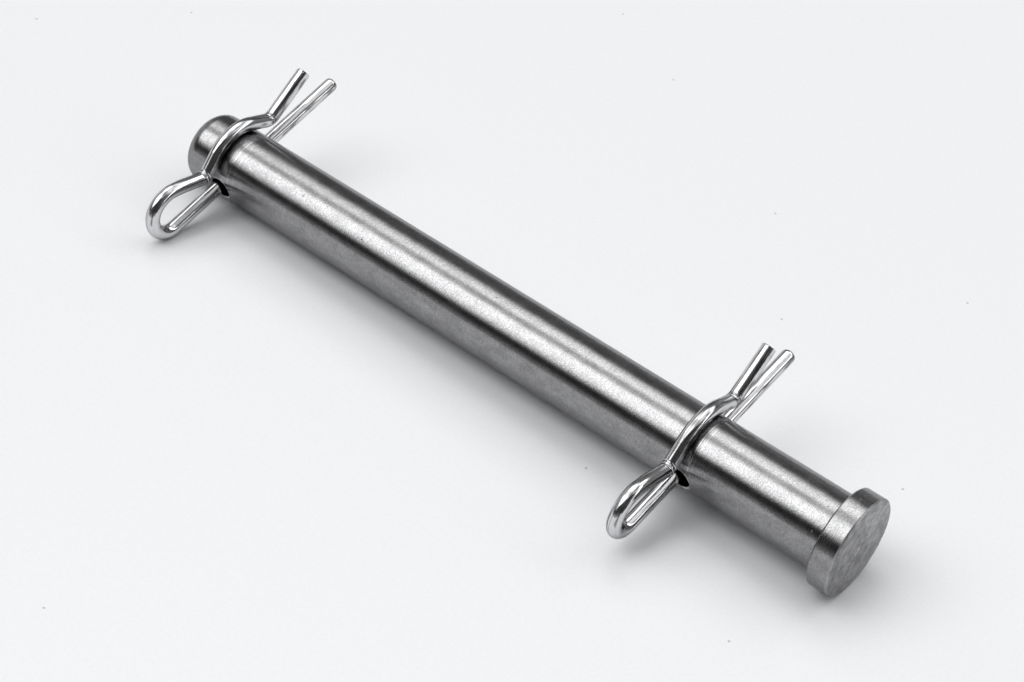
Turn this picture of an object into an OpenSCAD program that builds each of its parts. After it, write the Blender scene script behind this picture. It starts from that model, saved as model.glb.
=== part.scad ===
// Brake pad pin: a turned, headed pin with a cross hole near each end,
// and a spring wire clip pushed through each hole and sprung over the shank.
// Millimetres. The pin lies along X, with its head's bearing face at X = 0
// and its tip on the +X side. The clips' tails point to -Y, their loops to +Y.

/* [Pin] */
// Diameter of the shank that the brake pads slide on
shank_d = 9.5; // [7:0.1:12]
// Length from the head's bearing face to the tip
shank_length = 98.9; // [75:0.1:130]
// Diameter of the head
head_d = 12.5; // [10.5:0.1:18]
// Thickness of the head
head_thickness = 2.8; // [1.5:0.1:6]
// Width of the broken edge round both faces of the head
head_edge = 0.2; // [0.1:0.05:0.6]
// Radius of the rounded edge at the tip
tip_round = 1.8; // [0.5:0.1:3]

/* [Cross holes] */
// Clearance of the hole over the wire, on the diameter
hole_play = 1.15; // [0.6:0.05:1.4]
// Depth of the broken edge where the hole leaves the shank
hole_edge = 0.3; // [0.1:0.05:0.4]
// Centre of the hole near the head, from the bearing face
head_hole_x = 18.7; // [10:0.1:30]
// Centre of the hole near the tip, from the tip's end face
tip_hole_inset = 6.7; // [5:0.1:15]
// Rise of the holes above level, on the side of the clips' tails
hole_rise = 15.65; // [0:0.05:30]

/* [Clip wire] */
// Diameter of the spring wire
wire_d = 1.8; // [1.2:0.1:2.4]
// Share of the hole's play that the wire is pushed over, towards the tip
wire_push = 0.8; // [0:0.05:0.8]
// Radius of the tight bend at the foot of the loop, on the wire's centre line
loop_bend_r = 2.6; // [2:0.1:4]
// Angle of the tight bend at the foot of the loop
loop_bend_angle = 141; // [130:1:150]
// Radius of the loop's shoulder
shoulder_r = 3.5; // [2.5:0.1:5]
// Angle of the loop's shoulder
shoulder_angle = 56; // [50:1:60]
// Radius of the slack bow between the shoulder and the lower kink
bow_r = 14.8; // [10:0.1:20]
// Angle of the slack bow
bow_angle = 8; // [4:1:12]
// Radius of the lower kink
lower_kink_r = 1.65; // [1.3:0.05:2.2]
// Length of the straight flank from the lower kink to the arch
lower_flank = 2.4; // [1.5:0.1:3.2]
// Slack between the shank and the arch that lies over it
arch_slack = 0.05; // [0.03:0.01:0.3]
// Angle at which the arch ends, from the line of the straight leg
arch_end_angle = 57.5; // [40:0.5:70]
// Length of the straight flank from the arch to the upper kink
upper_flank = 2.8; // [1:0.1:4]
// Radius of the upper kink
upper_kink_r = 1.75; // [1.2:0.05:2.4]
// Radius of the rounded end of the straight leg
leg_end_round = 0.6; // [0.3:0.05:0.8]
// Width of the broken edge round the cut end of the tail
tail_end_edge = 0.08; // [0.05:0.01:0.2]

/* [Tip clip] */
// Straight run between the bow and the lower kink
tip_clip_run = 2.64; // [1.5:0.01:4]
// Length of the straight leg past the shank
tip_clip_leg = 12.6; // [8:0.05:18]
// Length of the straight tail
tip_clip_tail = 6.8; // [4:0.1:12]
// Angle at which the tail flares away from the straight leg
tip_clip_flare = 18.2; // [10:0.1:28]
// Lean of the arch towards the tip
tip_clip_lean = 4.4; // [-6:0.1:6]
// Twist of the clip in its hole, up on the side of the tails
tip_clip_twist = 1.85; // [-2:0.05:2]

/* [Head clip] */
// Straight run between the bow and the lower kink
head_clip_run = 2.96; // [1.5:0.01:4]
// Length of the straight leg past the shank
head_clip_leg = 12.9; // [8:0.05:18]
// Length of the straight tail
head_clip_tail = 6.5; // [4:0.1:12]
// Angle at which the tail flares away from the straight leg
head_clip_flare = 25.3; // [10:0.1:28]
// Lean of the arch towards the tip
head_clip_lean = -1.2; // [-6:0.1:6]
// Twist of the clip in its hole, up on the side of the tails
head_clip_twist = -1.85; // [-2:0.05:2]

/* [Hidden] */

round_fn = 96;
edge_fn = 32;
wire_fn = 32;

// Every second length of a clip's wire is a hair thicker, as wire is where it is
// bent, and the thinner lengths run on into it, so that no two faces coincide.
bend_swell = 0.005;
run_on = 0.05;

shank_r = shank_d / 2;
head_r = head_d / 2;
wire_r = wire_d / 2;
hole_d = wire_d + hole_play;
tip_hole_x = shank_length - tip_hole_inset;
wire_shift = wire_push * hole_play / 2;
hole_mouth = shank_r - hole_edge;
bore_overrun = 1;

// Clip bends, worked out in the clip's own plane: X runs along the straight leg
// towards the tails, Y towards the arch, and the shank's axis is at the origin.
// The wire leaves the leg at the foot of the loop and turns clockwise.
arch_r = shank_r + wire_r + arch_slack;
foot_start = 270;
shoulder_start = foot_start - loop_bend_angle;
bow_start = shoulder_start - shoulder_angle;
bow_end = bow_start - bow_angle;

function unit(angle) = [cos(angle), sin(angle)];
function clockwise(angle) = [sin(angle), -cos(angle)];

// The bends of the loop, from the end of the straight leg.
foot_centre = [0, loop_bend_r];
shoulder_centre = foot_centre + (loop_bend_r - shoulder_r) * unit(shoulder_start);
bow_centre = shoulder_centre + (shoulder_r - bow_r) * unit(bow_start);
bow_finish = bow_centre + bow_r * unit(bow_end);

// The lower kink touches the run on one side and the arch's flank on the other.
lower_kink_reach = norm([arch_r + lower_kink_r, lower_flank]);
function kink_from_bow(run) = lower_kink_r * unit(bow_end) + run * clockwise(bow_end);
function lower_kink_y(run) = (bow_finish + kink_from_bow(run)).y;
function lower_kink_x(run) = -sqrt(pow(lower_kink_reach, 2) - pow(lower_kink_y(run), 2));
function lower_kink_centre(run) = [lower_kink_x(run), lower_kink_y(run)];
function loop_x(run) = lower_kink_x(run) - (bow_finish + kink_from_bow(run)).x;

function lower_kink_angle(run) = atan2(lower_kink_y(run), lower_kink_x(run));
function arch_start_angle(run) =
    lower_kink_angle(run) - atan2(lower_flank, arch_r + lower_kink_r);

// The upper kink turns the wire outwards into the tail.
upper_kink_centre =
    (arch_r + upper_kink_r) * unit(arch_end_angle) + upper_flank * clockwise(arch_end_angle);
function upper_kink_turn(flare) = flare + 90 - arch_end_angle;

function clip_roll(twist) = hole_rise + twist;

module head_profile() {
    translate([0, -head_thickness])
        polygon([
            [0, 0],
            [head_r - head_edge, 0],
            [head_r, head_edge],
            [head_r, head_thickness - head_edge],
            [head_r - head_edge, head_thickness],
            [0, head_thickness]
        ]);
}

module shank_profile() {
    corner = [shank_r - tip_round, shank_length - tip_round];
    difference() {
        translate([0, -head_edge])
            square([shank_r, shank_length + head_edge]);
        difference() {
            translate(corner)
                square(2 * tip_round);
            translate(corner)
                circle(r = tip_round, $fn = edge_fn);
        }
    }
}

// A hole across the shank, with its edge broken where it comes out at each side.
module cross_hole(x) {
    mouth_depth = hole_edge + bore_overrun;
    translate([x, 0, 0])
        rotate([90 - hole_rise, 0, 0]) {
            cylinder(h = 2 * (shank_r + bore_overrun), d = hole_d, center = true, $fn = wire_fn);
            for (side = [0, 180])
                rotate([0, side, 0])
                    translate([0, 0, hole_mouth])
                        cylinder(
                            h = mouth_depth,
                            d1 = hole_d,
                            d2 = hole_d + 2 * mouth_depth,
                            $fn = wire_fn
                        );
        }
}

module pad_pin() {
    color([0.66, 0.66, 0.67])
        difference() {
            rotate([0, 90, 0])
                rotate_extrude($fn = round_fn) {
                    head_profile();
                    shank_profile();
                }
            cross_hole(head_hole_x);
            cross_hole(tip_hole_x);
        }
}

// A bend that is a hair thicker than the wire.
module bend(centre, radius, start, turn) {
    translate(centre)
        rotate([0, 0, start])
            rotate_extrude(angle = turn, $fn = wire_fn)
                translate([radius, 0])
                    circle(r = wire_r + bend_swell, $fn = wire_fn);
}

// A bend between two thicker ones: it runs on into both.
module thin_bend(centre, radius, start, turn) {
    extra = run_on / radius * 180 / PI;
    translate(centre)
        rotate([0, 0, start - extra])
            rotate_extrude(angle = turn + 2 * extra, $fn = wire_fn)
                translate([radius, 0])
                    circle(r = wire_r, $fn = wire_fn);
}

// A straight length that runs on into the bends at both its ends.
module straight(start, angle, length) {
    translate(start)
        rotate([0, 0, angle])
            translate([-run_on, 0, 0])
                rotate([0, 90, 0])
                    cylinder(h = length + 2 * run_on, r = wire_r, $fn = wire_fn);
}

// The straight leg ends in a tumbled, rounded end.
module leg(start, length) {
    corner = [wire_r - leg_end_round, length - leg_end_round];
    translate(start)
        rotate([0, 90, 0])
            rotate_extrude($fn = wire_fn)
                difference() {
                    translate([0, -run_on])
                        square([wire_r, length + run_on]);
                    difference() {
                        translate(corner)
                            square(2 * leg_end_round);
                        translate(corner)
                            circle(r = leg_end_round, $fn = edge_fn);
                    }
                }
}

// The tail is cut square, with its edge only just broken.
module tail(start, angle, length) {
    translate(start)
        rotate([0, 0, angle])
            rotate([0, 90, 0])
                rotate_extrude($fn = wire_fn)
                    polygon([
                        [0, -run_on],
                        [wire_r, -run_on],
                        [wire_r, length - tail_end_edge],
                        [wire_r - tail_end_edge, length],
                        [0, length]
                    ]);
}

module clip_wire(run, leg_past, tail_length, flare) {
    loop_at = [loop_x(run), 0];
    arch_start = arch_start_angle(run);
    kink_centre = lower_kink_centre(run);
    flank_start = kink_centre - lower_kink_r * unit(arch_start);
    upper_turn = upper_kink_turn(flare);
    tail_start = upper_kink_centre + upper_kink_r * unit(flare - 90);
    leg(loop_at, shank_r + leg_past - loop_at.x);
    bend(loop_at + foot_centre, loop_bend_r, shoulder_start, loop_bend_angle);
    thin_bend(loop_at + shoulder_centre, shoulder_r, bow_start, shoulder_angle);
    bend(loop_at + bow_centre, bow_r, bow_end, bow_angle);
    straight(loop_at + bow_finish, bow_end - 90, run);
    bend(kink_centre, lower_kink_r, bow_end - 180, arch_start - bow_end);
    straight(flank_start, arch_start - 90, lower_flank);
    bend([0, 0], arch_r, arch_end_angle, arch_start - arch_end_angle);
    straight(arch_r * unit(arch_end_angle), arch_end_angle - 90, upper_flank);
    bend(upper_kink_centre, upper_kink_r, arch_end_angle + 180, upper_turn);
    tail(tail_start, flare, tail_length);
}

// Puts a clip in its hole: the leg along the hole, the arch over the shank.
module place_clip(hole_x, twist, lean) {
    translate([hole_x + wire_shift, 0, 0])
        rotate([-clip_roll(twist), 0, 0])
            rotate([90, 0, -90])
                rotate([-lean, 0, 0])
                    children();
}

module head_clip() {
    color([0.78, 0.78, 0.79])
        place_clip(head_hole_x, head_clip_twist, head_clip_lean)
            clip_wire(head_clip_run, head_clip_leg, head_clip_tail, head_clip_flare);
}

module tip_clip() {
    color([0.78, 0.78, 0.79])
        place_clip(tip_hole_x, tip_clip_twist, tip_clip_lean)
            clip_wire(tip_clip_run, tip_clip_leg, tip_clip_tail, tip_clip_flare);
}

pad_pin();
head_clip();
tip_clip();
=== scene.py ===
import math

import bpy
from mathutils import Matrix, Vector

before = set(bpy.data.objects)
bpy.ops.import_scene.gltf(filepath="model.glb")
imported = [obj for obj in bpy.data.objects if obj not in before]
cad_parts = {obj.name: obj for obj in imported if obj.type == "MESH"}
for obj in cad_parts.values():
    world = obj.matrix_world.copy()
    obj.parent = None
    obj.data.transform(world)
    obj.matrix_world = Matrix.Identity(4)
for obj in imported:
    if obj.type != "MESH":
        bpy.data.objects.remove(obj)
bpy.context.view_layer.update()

MM = 0.001

# The photograph's camera, in the row frame.
CAMERA_PLACE_MM = (-71.014, 167.716, 173.979)
CAMERA_TURN_DEG = (49.2542, -5.6533, -139.9959)
CAMERA_LENS_MM = 79.023
CAMERA_SENSOR_MM = 36.0
CAMERA_NEAREST_M = 0.01
CAMERA_FARTHEST_M = 20.0

# The level surface that the pin lies on: the head's rim and the tip touch it.
REST_HEIGHT_MM = -6.25
REST_TILT_DEG = 0.883
FLOOR_SIZE_M = 24.0


# ---------------------------------------------------------------- node tools

class Nodes:
    """Short ways to add and join shader nodes."""

    def __init__(self, tree):
        self.tree = tree
        tree.nodes.clear()

    def add(self, kind, **settings):
        node = self.tree.nodes.new(kind)
        for name, value in settings.items():
            setattr(node, name, value)
        return node

    def join(self, source, target):
        self.tree.links.new(source, target)

    def feed(self, socket, value):
        if isinstance(value, bpy.types.NodeSocket):
            self.join(value, socket)
        else:
            socket.default_value = value

    def math(self, operation, *values):
        node = self.add("ShaderNodeMath", operation=operation)
        for socket, value in zip(node.inputs, values):
            self.feed(socket, value)
        return node.outputs[0]

    def vector_math(self, operation, first, second):
        node = self.add("ShaderNodeVectorMath", operation=operation)
        self.feed(node.inputs[0], first)
        self.feed(node.inputs[1], second)
        return node

    def dot(self, vector, direction):
        return self.vector_math("DOT_PRODUCT", vector, direction).outputs["Value"]

    def stretch(self, vector, sizes):
        return self.vector_math("MULTIPLY", vector, sizes).outputs[0]

    def shift(self, vector, origin):
        return self.vector_math("SUBTRACT", vector, origin).outputs[0]

    def scaled(self, vector, factor):
        node = self.add("ShaderNodeVectorMath", operation="SCALE")
        self.feed(node.inputs[0], vector)
        self.feed(node.inputs["Scale"], factor)
        return node.outputs[0]

    def step(self, value, start, end, low=0.0, high=1.0):
        """Goes smoothly from low to high as value goes from start to end."""
        node = self.add("ShaderNodeMapRange", interpolation_type="SMOOTHSTEP")
        for name, item in (("Value", value), ("From Min", start), ("From Max", end),
                           ("To Min", low), ("To Max", high)):
            self.feed(node.inputs[name], item)
        return node.outputs["Result"]

    def times(self, *values):
        result = values[0]
        for value in values[1:]:
            result = self.math("MULTIPLY", result, value)
        return result

    def plus(self, *values):
        result = values[0]
        for value in values[1:]:
            result = self.math("ADD", result, value)
        return result

    def dimmed(self, mask, share):
        """One, less a share of itself where the mask is one."""
        return self.math("MULTIPLY_ADD", mask, -share, 1.0)

    def length(self, first, second):
        return self.math("SQRT", self.plus(self.times(first, first), self.times(second, second)))

    def near(self, value, middle, half_width, blur):
        """One within half_width of the middle, and none beyond the blur."""
        away = self.math("ABSOLUTE", self.math("SUBTRACT", value, middle))
        return self.step(away, half_width + blur, half_width)

    def millimetres(self):
        """The place on the part, in the row frame, in millimetres."""
        return self.scaled(self.add("ShaderNodeTexCoord").outputs["Object"], 1 / MM)

    def split(self, vector):
        node = self.add("ShaderNodeSeparateXYZ")
        self.join(vector, node.inputs[0])
        return node.outputs

    def vector(self, x, y, z):
        node = self.add("ShaderNodeCombineXYZ")
        for socket, value in zip(node.inputs, (x, y, z)):
            self.feed(socket, value)
        return node.outputs[0]

    def noise(self, vector, scale=1.0, detail=2.0, roughness=0.5):
        node = self.add("ShaderNodeTexNoise")
        self.feed(node.inputs["Vector"], vector)
        self.feed(node.inputs["Scale"], scale)
        self.feed(node.inputs["Detail"], detail)
        self.feed(node.inputs["Roughness"], roughness)
        return node.outputs[0]

    def specks(self, vector, spacing, size, share, dimensions="3D"):
        """Small dots scattered in a share of the cells."""
        node = self.add("ShaderNodeTexVoronoi", voronoi_dimensions=dimensions)
        self.feed(node.inputs["Vector"], vector)
        self.feed(node.inputs["Scale"], 1 / spacing)
        chosen = self.math("LESS_THAN", self.split(node.outputs["Color"])[0], share)
        return self.times(chosen, self.step(node.outputs["Distance"],
                                            size / spacing, 0.4 * size / spacing))

    def bump(self, height_mm):
        node = self.add("ShaderNodeBump")
        self.feed(node.inputs["Distance"], MM)
        self.feed(node.inputs["Height"], height_mm)
        return node.outputs[0]


def start_metal(name, edge_tint):
    mat = bpy.data.materials.new(name)
    mat.use_nodes = True
    n = Nodes(mat.node_tree)
    out = n.add("ShaderNodeOutputMaterial")
    skin = n.add("ShaderNodeBsdfPrincipled")
    n.feed(skin.inputs["Metallic"], 1.0)
    n.feed(skin.inputs["Specular Tint"], edge_tint)
    n.join(skin.outputs[0], out.inputs[0])
    return mat, n, skin


# ------------------------------------------------------------------ the pin's steel
# Places and widths are in millimetres in the row frame, and a texture's scale is in
# cycles for each millimetre. A range of four numbers is two values of a texture, and
# what it gives at each of them.

STEEL = (0.275, 0.275, 0.278)
STEEL_ROUGHNESS = 0.19
STEEL_EDGE_TINT = (0.72, 0.72, 0.73, 1)
STEEL_ANISOTROPY = 0.7
STEEL_ANISOTROPY_TURN = 0.25

# The head's outer face, its rim, and the small pip that the lathe left in the middle.
HEAD_FACE_X = -2.8
HEAD_RADIUS = 6.25
FACE_DEPTHS = (0.06, 0.02)
WORN_EDGE_WIDTHS = (0.26, 0.2)
WORN_EDGE_DEPTHS = (0.24, 0.18)
PIP_RADII = (0.34, 0.12)

# Turning lines run round the shank, and in rings on the head's face. Grinding has left
# short strokes round the shank and a fine grain.
LINES_SCALE = 5.0
LINES_WOBBLE_SCALE = 0.4
LINES_WOBBLE = 0.5
STROKES_STRETCH = (6.0, 1.4, 1.4)
GRAIN_SCALE = 6.5
CLOUDS_STRETCH = (0.45, 0.9, 0.9)
MOTTLE_SCALE = 1.7
PITS = {"spacing": 1.3, "size": 0.16, "share": 0.12}
# A scratch follows the middle value of a slow noise, in patches of another.
SCRATCH_STRETCH = (0.5, 0.22, 0.22)
SCRATCH_BAND = (0.5, 0.0012, 0.0025)
SCRATCH_PATCH_SCALE = 0.35
SCRATCH_PATCH = (0.58, 0.66)

# Each clip's arch crosses the shank here. Beside it the steel's colour is darkened as a painted
# shadow and dark reflection of the arch, and thin rings are painted bright over shallow grooves
# where that reflection ends: each ring's place and strength. They are on the shank's upper side,
# between two turns from +Y towards +Z, in radians.
ARCH_PLACES = (19.05, 93.1)
ARCH_SHADE_OFFSET = -0.2
ARCH_SHADE_HALF_WIDTH = 0.5
ARCH_SHADE_BLUR = 0.9
ARCH_SHADE_DEPTH = 0.55
ARCH_SHADE_PATCHES = (0.25, 0.6, 0.8, 1.0)
RING_GROOVES_AND_GLINTS = ((17.65, 0.5), (17.15, 0.25), (90.75, 0.5), (89.85, 0.25))
RING_HALF_WIDTH = 0.03
RING_BLUR = 0.07
UPPER_SIDE_LOOPS = (-0.6, -0.3)
UPPER_SIDE_TAILS = (2.6, 2.2)

# The mouths of the cross holes are rougher, and their rims carry a painted highlight.
HOLE_PLACES = (18.7, 92.2)
HOLE_RISE_DEG = 15.65
HOLE_RADIUS = 1.475
MOUTH_OFFSET = 0.16
MOUTH_HALF_WIDTH = 0.1
MOUTH_BLUR = 0.06
MOUTH_RADII = (4.3, 4.45)

# What the marks do to the steel's brightness,
GRAIN_LEVEL = (0.3, 0.7, 0.86, 1.12)
STROKES_LEVEL = (0.3, 0.7, 0.92, 1.07)
CLOUDS_LEVEL = (0.3, 0.7, 0.88, 1.12)
MOTTLE_LEVEL = (0.34, 0.66, 0.96, 1.04)
FACE_LINES_GAIN = (0.35, 0.65, -0.04, 0.24)
FACE_CLOUDS_GAIN = (0.32, 0.62, -0.14, 0.34)
PITS_DIM = 0.55
SCRATCH_GAIN = 0.12
WORN_EDGE_GAIN = 0.3
MOUTH_HIGHLIGHT_GAIN = 0.7
PIP_GAIN = 0.3
# to its roughness,
CLOUDS_ROUGHNESS = (0.3, 0.7, -0.02, 0.03)
GRAIN_ROUGHNESS = (0.3, 0.7, 0.03, -0.02)
FACE_ROUGHNESS = 0.12
MOUTH_ROUGHNESS = 0.15
WORN_EDGE_ROUGHNESS = 0.25
# and to its height, in millimetres.
GRAIN_HEIGHT = 0.004
STROKES_HEIGHT = 0.008
SHANK_LINES_HEIGHT = 0.006
FACE_LINES_HEIGHT = 0.02
PITS_HEIGHT = -0.02
RINGS_HEIGHT = -0.01
PIP_HEIGHT = -0.06


def turned_lines(n, spot, x, reach):
    wobble = n.times(n.noise(spot, LINES_WOBBLE_SCALE), LINES_WOBBLE)
    place = n.vector(n.plus(x, wobble), n.plus(reach, wobble), 0.0)
    return n.noise(place, LINES_SCALE, 3.0, 0.6)


def faint_scratches(n, spot):
    lines = n.near(n.noise(n.stretch(spot, SCRATCH_STRETCH), detail=1.0), *SCRATCH_BAND)
    patches = n.step(n.noise(spot, SCRATCH_PATCH_SCALE, 0.0), *SCRATCH_PATCH)
    return n.times(lines, patches)


# Painted shade: darkens the steel's colour beside each arch, in irregular patches, as the arch's
# shadow and dark reflection.
def painted_arch_shade(n, x, upper_side, clouds):
    band = 0.0
    for place in ARCH_PLACES:
        one = n.near(x, place + ARCH_SHADE_OFFSET, ARCH_SHADE_HALF_WIDTH, ARCH_SHADE_BLUR)
        band = n.math("MAXIMUM", band, one)
    return n.times(band, upper_side, n.step(clouds, *ARCH_SHADE_PATCHES), ARCH_SHADE_DEPTH)


# Painted highlight: thin rings brightened in colour where the arch's dark reflection ends, over
# real shallow grooves.
def ring_grooves_and_glints(n, x, upper_side):
    rings = 0.0
    for place, strength in RING_GROOVES_AND_GLINTS:
        rings = n.plus(rings, n.times(n.near(x, place, RING_HALF_WIDTH, RING_BLUR), strength))
    return n.times(rings, upper_side)


# Rougher steel round each hole's mouth, and a painted highlight on its rim.
def rough_mouths_with_highlight(n, spot, x, reach):
    rise = math.radians(HOLE_RISE_DEG)
    off_axis = n.dot(spot, (0.0, math.sin(rise), math.cos(rise)))
    mouths = 0.0
    for place in HOLE_PLACES:
        away = n.length(n.math("SUBTRACT", x, place), off_axis)
        one = n.near(away, HOLE_RADIUS + MOUTH_OFFSET, MOUTH_HALF_WIDTH, MOUTH_BLUR)
        mouths = n.plus(mouths, one)
    return n.times(mouths, n.step(reach, *MOUTH_RADII))


def head_worn_edge(n, x, reach):
    outer, inner = WORN_EDGE_WIDTHS
    deep, shallow = WORN_EDGE_DEPTHS
    near_rim = n.step(reach, HEAD_RADIUS - outer, HEAD_RADIUS - inner)
    return n.times(near_rim, n.step(x, HEAD_FACE_X + deep, HEAD_FACE_X + shallow))


def ground_steel():
    mat, n, skin = start_metal("ground_steel", STEEL_EDGE_TINT)
    n.feed(skin.inputs["Anisotropic"], STEEL_ANISOTROPY)
    n.feed(skin.inputs["Anisotropic Rotation"], STEEL_ANISOTROPY_TURN)
    tangent = n.add("ShaderNodeTangent", direction_type="RADIAL", axis="X")
    n.join(tangent.outputs[0], skin.inputs["Tangent"])

    spot = n.millimetres()
    x, y, z = n.split(spot)
    reach = n.length(y, z)
    turn = n.math("ARCTAN2", z, y)
    on_face = n.step(x, *(HEAD_FACE_X + depth for depth in FACE_DEPTHS))
    upper_side = n.times(n.step(turn, *UPPER_SIDE_LOOPS), n.step(turn, *UPPER_SIDE_TAILS))

    lines = turned_lines(n, spot, x, reach)
    strokes = n.noise(n.stretch(spot, STROKES_STRETCH), roughness=0.6)
    grain = n.noise(spot, GRAIN_SCALE, 1.0, 0.6)
    clouds = n.noise(n.stretch(spot, CLOUDS_STRETCH), detail=3.0, roughness=0.65)
    mottle = n.noise(spot, MOTTLE_SCALE, roughness=0.7)
    pits = n.specks(spot, **PITS)
    scratches = faint_scratches(n, spot)
    # Painted shadow and dark reflection of each clip's arch.
    arch_shade = painted_arch_shade(n, x, upper_side, clouds)
    # Painted highlight over shallow grooves, beside each arch.
    rings = ring_grooves_and_glints(n, x, upper_side)
    mouths = rough_mouths_with_highlight(n, spot, x, reach)
    worn_edge = head_worn_edge(n, x, reach)
    pip = n.times(n.step(reach, *PIP_RADII), on_face)

    level = n.times(
        n.step(grain, *GRAIN_LEVEL),
        n.step(strokes, *STROKES_LEVEL),
        n.step(clouds, *CLOUDS_LEVEL),
        n.step(mottle, *MOTTLE_LEVEL),
        n.plus(1.0,
               n.times(on_face, n.step(lines, *FACE_LINES_GAIN)),
               n.times(on_face, n.step(clouds, *FACE_CLOUDS_GAIN))),
        n.math("SUBTRACT", 1.0, arch_shade),
        n.dimmed(pits, PITS_DIM),
        n.plus(1.0, rings,
               n.times(scratches, SCRATCH_GAIN),
               n.times(worn_edge, WORN_EDGE_GAIN),
               # Painted highlight on the holes' rims.
               n.times(mouths, MOUTH_HIGHLIGHT_GAIN),
               n.times(pip, PIP_GAIN)),
    )
    n.join(n.scaled(STEEL, level), skin.inputs["Base Color"])

    roughness = n.plus(
        STEEL_ROUGHNESS,
        n.step(clouds, *CLOUDS_ROUGHNESS),
        n.step(grain, *GRAIN_ROUGHNESS),
        n.times(on_face, FACE_ROUGHNESS),
        n.times(mouths, MOUTH_ROUGHNESS),
        n.times(worn_edge, WORN_EDGE_ROUGHNESS),
    )
    n.join(roughness, skin.inputs["Roughness"])

    height = n.plus(
        n.times(grain, GRAIN_HEIGHT),
        n.times(strokes, STROKES_HEIGHT),
        n.times(lines, n.step(on_face, 0.0, 1.0, SHANK_LINES_HEIGHT, FACE_LINES_HEIGHT)),
        n.times(pits, PITS_HEIGHT),
        n.times(rings, RINGS_HEIGHT),
        n.times(pip, PIP_HEIGHT),
    )
    n.join(n.bump(height), skin.inputs["Normal"])
    return mat


# ------------------------------------------------------------------ the clips' wire

WIRE = (0.68, 0.68, 0.69)
WIRE_ROUGHNESS = 0.1
WIRE_EDGE_TINT = (0.5, 0.5, 0.51, 1)

# Each clip lies in a plane through its hole: the hole's place on the pin, the plane's
# roll and lean in degrees, and the two kinks as places along the straight leg and away
# from it.
TIP_CLIP = {"name": "tip_wire", "hole_x": 92.66, "roll": 17.5, "lean": 4.4,
            "kinks": ((-5.9, 3.4), (6.15, 3.2))}
HEAD_CLIP = {"name": "head_wire", "hole_x": 19.16, "roll": 13.8, "lean": -1.2,
             "kinks": ((-6.0, 3.3), (6.2, 3.2))}

# Drawing has left lines along the wire, which keep their distance from the plane: the
# cycles for each millimetre off the plane, and along it.
DRAWN_OFF_PLANE = 7.0
DRAWN_ALONG = 0.12
STREAKS_OFF_PLANE = 3.0
STREAKS_ALONG = 0.2
WIRE_GRAIN_SCALE = 4.0
NICKS = {"spacing": 1.1, "size": 0.14, "share": 0.16}
# Fine lines across the wire at each kink are darker in colour and sunk as shallow grooves.
KINK_MARKS = (-0.25, 0.2)
KINK_MARK_HALF_WIDTH = 0.05
KINK_MARK_BLUR = 0.11
KINK_ALONG = (0.7, 0.3)
KINK_AWAY = (1.0, 0.4)

STREAKS_LEVEL = (0.36, 0.44, 0.35, 1.0)
DRAWN_LEVEL = (0.34, 0.41, 0.3, 1.0)
WIRE_GRAIN_LEVEL = (0.3, 0.7, 0.94, 1.04)
NICKS_DIM = 0.5
KINK_MARKS_DIM = 0.35
DRAWN_ROUGHNESS = (0.35, 0.65, 0.05, -0.02)
DRAWN_HEIGHT = 0.012
WIRE_GRAIN_HEIGHT = 0.002
NICKS_HEIGHT = -0.015
KINK_MARKS_HEIGHT = -0.07


def clip_directions(roll, lean):
    """Along the straight leg towards the tails, away from it, and off the plane."""
    roll, lean = math.radians(roll), math.radians(lean)
    leg = Vector((0, -math.cos(roll), math.sin(roll)))
    away = Vector((math.sin(lean), math.cos(lean) * math.sin(roll),
                   math.cos(lean) * math.cos(roll)))
    return leg, away, leg.cross(away)


def kink_marks(n, along, away, kinks):
    marks = 0.0
    for kink_along, kink_away in kinks:
        close = n.times(n.near(along, kink_along, *KINK_ALONG),
                        n.near(away, kink_away, *KINK_AWAY))
        for place in KINK_MARKS:
            line = n.near(along, kink_along + place, KINK_MARK_HALF_WIDTH, KINK_MARK_BLUR)
            marks = n.plus(marks, n.times(close, line))
    return marks


def bright_wire(name, hole_x, roll, lean, kinks):
    mat, n, skin = start_metal(name, WIRE_EDGE_TINT)
    spot = n.shift(n.millimetres(), (hole_x, 0.0, 0.0))
    along, away, off = (n.dot(spot, tuple(axis)) for axis in clip_directions(roll, lean))

    drawn = n.noise(n.vector(n.times(off, DRAWN_OFF_PLANE), n.times(along, DRAWN_ALONG),
                             n.times(away, DRAWN_ALONG)), detail=3.0, roughness=0.65)
    streaks = n.noise(n.vector(n.times(off, STREAKS_OFF_PLANE), n.times(along, STREAKS_ALONG),
                               n.times(away, STREAKS_ALONG)), roughness=0.6)
    grain = n.noise(spot, WIRE_GRAIN_SCALE, roughness=0.6)
    nicks = n.specks(spot, **NICKS)
    marks = kink_marks(n, along, away, kinks)

    level = n.times(
        n.step(streaks, *STREAKS_LEVEL),
        n.step(drawn, *DRAWN_LEVEL),
        n.step(grain, *WIRE_GRAIN_LEVEL),
        n.dimmed(nicks, NICKS_DIM),
        n.dimmed(marks, KINK_MARKS_DIM),
    )
    n.join(n.scaled(WIRE, level), skin.inputs["Base Color"])
    n.join(n.plus(WIRE_ROUGHNESS, n.step(drawn, *DRAWN_ROUGHNESS)), skin.inputs["Roughness"])
    height = n.plus(
        n.times(drawn, DRAWN_HEIGHT),
        n.times(grain, WIRE_GRAIN_HEIGHT),
        n.times(nicks, NICKS_HEIGHT),
        n.times(marks, KINK_MARKS_HEIGHT),
    )
    n.join(n.bump(height), skin.inputs["Normal"])
    return mat


# ------------------------------------------------------------------------ the floor
# A satin board: mostly matt, with a faint broad sheen of the panels overhead.

FLOOR_MATT = (0.83, 0.836, 0.851)
FLOOR_SHEEN = (0.95, 0.955, 0.97, 1)
FLOOR_SHEEN_SHARE = 0.05
FLOOR_SHEEN_ROUGHNESS = 0.42
FLOOR_GRAIN_SCALE = 2.2
FLOOR_GRAIN_LEVEL = (0.3, 0.7, 0.986, 1.014)
FLOOR_GRAIN_HEIGHT = 0.012
DUST = {"spacing": 14.0, "size": 0.22, "share": 0.15, "dimensions": "2D"}
DUST_DIM = 0.4


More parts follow.
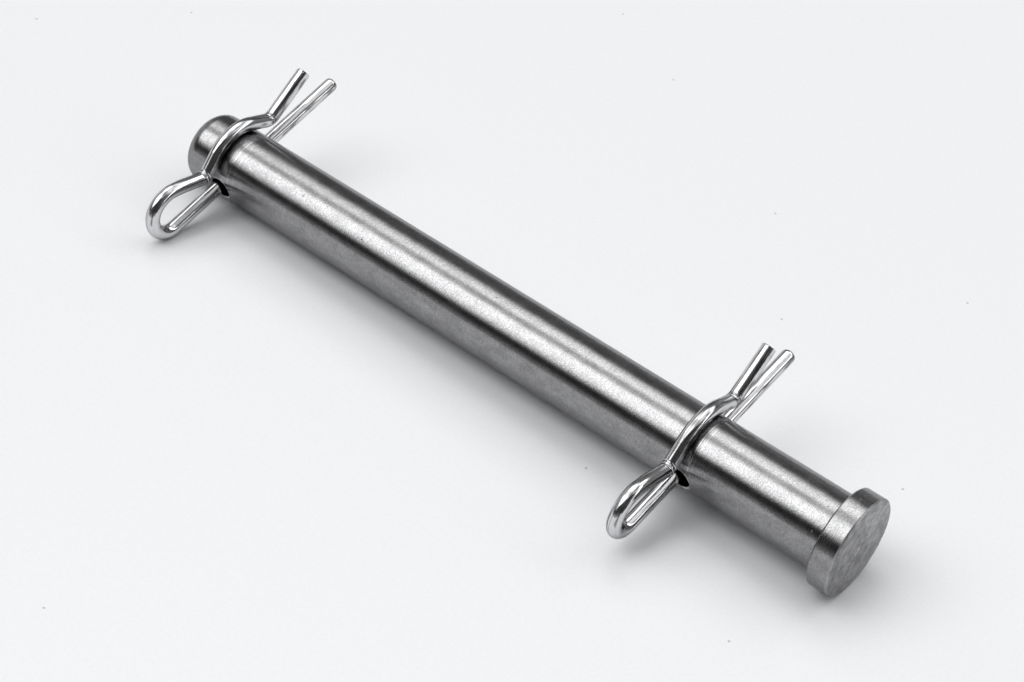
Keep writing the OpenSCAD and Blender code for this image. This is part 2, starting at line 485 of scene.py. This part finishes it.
def satin_board():
    mat = bpy.data.materials.new("pale_floor")
    mat.use_nodes = True
    n = Nodes(mat.node_tree)
    out = n.add("ShaderNodeOutputMaterial")
    spot = n.millimetres()
    grain = n.noise(spot, FLOOR_GRAIN_SCALE, 3.0, 0.6)
    dust = n.specks(spot, **DUST)
    level = n.times(n.step(grain, *FLOOR_GRAIN_LEVEL), n.dimmed(dust, DUST_DIM))
    matt = n.add("ShaderNodeBsdfDiffuse")
    n.join(n.scaled(FLOOR_MATT, level), matt.inputs["Color"])
    n.join(n.bump(n.times(grain, FLOOR_GRAIN_HEIGHT)), matt.inputs["Normal"])
    sheen = n.add("ShaderNodeBsdfGlossy")
    n.feed(sheen.inputs["Color"], FLOOR_SHEEN)
    n.feed(sheen.inputs["Roughness"], FLOOR_SHEEN_ROUGHNESS)
    both = n.add("ShaderNodeMixShader")
    n.feed(both.inputs[0], FLOOR_SHEEN_SHARE)
    n.join(matt.outputs[0], both.inputs[1])
    n.join(sheen.outputs[0], both.inputs[2])
    n.join(both.outputs[0], out.inputs[0])
    return mat


def make_floor():
    half = FLOOR_SIZE_M / 2
    mesh = bpy.data.meshes.new("floor")
    corners = [(-half, -half, 0), (half, -half, 0), (half, half, 0), (-half, half, 0)]
    mesh.from_pydata(corners, [], [(0, 1, 2, 3)])
    mesh.materials.append(satin_board())
    floor = bpy.data.objects.new("floor", mesh)
    floor.location.z = REST_HEIGHT_MM * MM
    floor.rotation_euler.y = -math.radians(REST_TILT_DEG)
    bpy.context.collection.objects.link(floor)


# ------------------------------------------------------------------------ the light
# The studio is a broad ceiling of light in two panels, with a dim seam between them.
# Places on it are slopes: distance along the pin, or across it towards the clips'
# loops, for each unit of height above the pin. An edge is where the light starts and
# where it is full.

STUDIO_UP = (0.0, 0.153, 0.988)
STUDIO_ACROSS = (0.0, 0.988, -0.153)
LOWEST_UP = 0.02
PANEL_LIGHT = 3.46
LOOP_SIDE_EDGE = (1.5, 0.4)
TAIL_SIDE_EDGE = (-1.45, -0.45)
HEAD_END_EDGE = (-2.2, -1.2)
TIP_END_EDGE = (1.35, 0.85)
# Towards the head, the edge on the loops' side slants in over the pin.
SLANTED_EDGE = (0.7, 0.35)
SLANT = 1.0
SEAM_TAIL_SIDE = -0.16
SEAM_LOOP_SIDE = -0.06
SEAM_BLUR = 0.24
SEAM_DIM = 0.62
# The panel on the tails' side fades towards the tip.
FAR_PANEL_EDGE = (0.05, -0.3)
FAR_PANEL_FADE = (0.45, 0.95, 0.85, 0.5)
# Over the head's end the ceiling is dimmer, and a side lamp beyond the tails, out of the
# shank's reflections, throws the soft shadow towards the loops.
HEAD_END_FADE = (0.3, -0.3, 1.0, 0.3)
SIDE_LAMP = 2.8
SIDE_LAMP_NEAR_EDGE = (-0.9, -1.3)
SIDE_LAMP_FAR_EDGE = (-2.2, -1.6)
SIDE_LAMP_FADE = (0.3, -0.2)
# Low fill lights beyond the tip and the tails: the direction of each, how closely one
# has to point at it for the light to start and to be full, and its level.
FILLS = (((1.0, 0.0, 0.0), 0.75, 0.95, 0.5), ((0.0, -1.0, 0.0), 0.82, 0.97, 0.2))
# The room beyond the panels, from the loops' side to the tails' side, and its rise
# towards the horizon beyond the loops.
ROOM_LEVEL = (1.0, -1.0, 0.048, 0.176)
HORIZON_LEVEL = (1.3, 4.5, 0.0, 0.36)
WORLD_MAP_SIZE = 1024


def ceiling_light(n, along, across):
    slanted = n.math("MULTIPLY_ADD", along, -SLANT, across)
    seam = n.times(n.step(across, SEAM_LOOP_SIDE + SEAM_BLUR, SEAM_LOOP_SIDE),
                   n.step(across, SEAM_TAIL_SIDE - SEAM_BLUR, SEAM_TAIL_SIDE))
    far_level = n.step(along, *FAR_PANEL_FADE)
    return n.times(
        PANEL_LIGHT,
        n.step(across, *LOOP_SIDE_EDGE),
        n.step(across, *TAIL_SIDE_EDGE),
        n.step(slanted, *SLANTED_EDGE),
        n.step(along, *HEAD_END_EDGE),
        n.step(along, *TIP_END_EDGE),
        n.dimmed(seam, SEAM_DIM),
        n.step(across, *FAR_PANEL_EDGE, 1.0, far_level),
        n.step(along, *HEAD_END_FADE),
    )


def side_light(n, along, across):
    return n.times(n.step(across, *SIDE_LAMP_NEAR_EDGE), n.step(across, *SIDE_LAMP_FAR_EDGE),
                   n.step(along, *SIDE_LAMP_FADE), SIDE_LAMP)


def room_light(n, across):
    return n.math("MAXIMUM", n.step(across, *ROOM_LEVEL), n.step(across, *HORIZON_LEVEL))


def light_studio():
    world = bpy.data.worlds.new("studio")
    bpy.context.scene.world = world
    world.use_nodes = True
    n = Nodes(world.node_tree)
    out = n.add("ShaderNodeOutputWorld")
    where = n.add("ShaderNodeTexCoord").outputs["Generated"]
    height = n.math("MAXIMUM", n.dot(where, STUDIO_UP), LOWEST_UP)
    along = n.math("DIVIDE", n.dot(where, (1.0, 0.0, 0.0)), height)
    across = n.math("DIVIDE", n.dot(where, STUDIO_ACROSS), height)
    fills = [n.step(n.dot(where, aim), start, end, 0.0, level)
             for aim, start, end, level in FILLS]
    light = n.plus(ceiling_light(n, along, across), side_light(n, along, across),
                   room_light(n, across), *fills)
    sky = n.add("ShaderNodeBackground")
    n.feed(sky.inputs["Color"], (1, 1, 1, 1))
    n.join(light, sky.inputs["Strength"])
    n.join(sky.outputs[0], out.inputs[0])
    world.cycles.sampling_method = "MANUAL"
    world.cycles.sample_map_resolution = WORLD_MAP_SIZE


# ----------------------------------------------------------------------- the camera

def make_camera():
    data = bpy.data.cameras.new("camera")
    data.lens = CAMERA_LENS_MM
    data.sensor_width = CAMERA_SENSOR_MM
    data.clip_start = CAMERA_NEAREST_M
    data.clip_end = CAMERA_FARTHEST_M
    camera = bpy.data.objects.new("camera", data)
    camera.location = Vector(CAMERA_PLACE_MM) * MM
    camera.rotation_euler = [math.radians(angle) for angle in CAMERA_TURN_DEG]
    bpy.context.collection.objects.link(camera)
    bpy.context.scene.camera = camera


def dress(node, material):
    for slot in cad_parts[node].material_slots:
        slot.material = material


dress("pad_pin", ground_steel())
dress("head_clip", bright_wire(**HEAD_CLIP))
dress("tip_clip", bright_wire(**TIP_CLIP))
make_floor()
light_studio()
make_camera()
bpy.context.scene.view_settings.view_transform = "Standard"
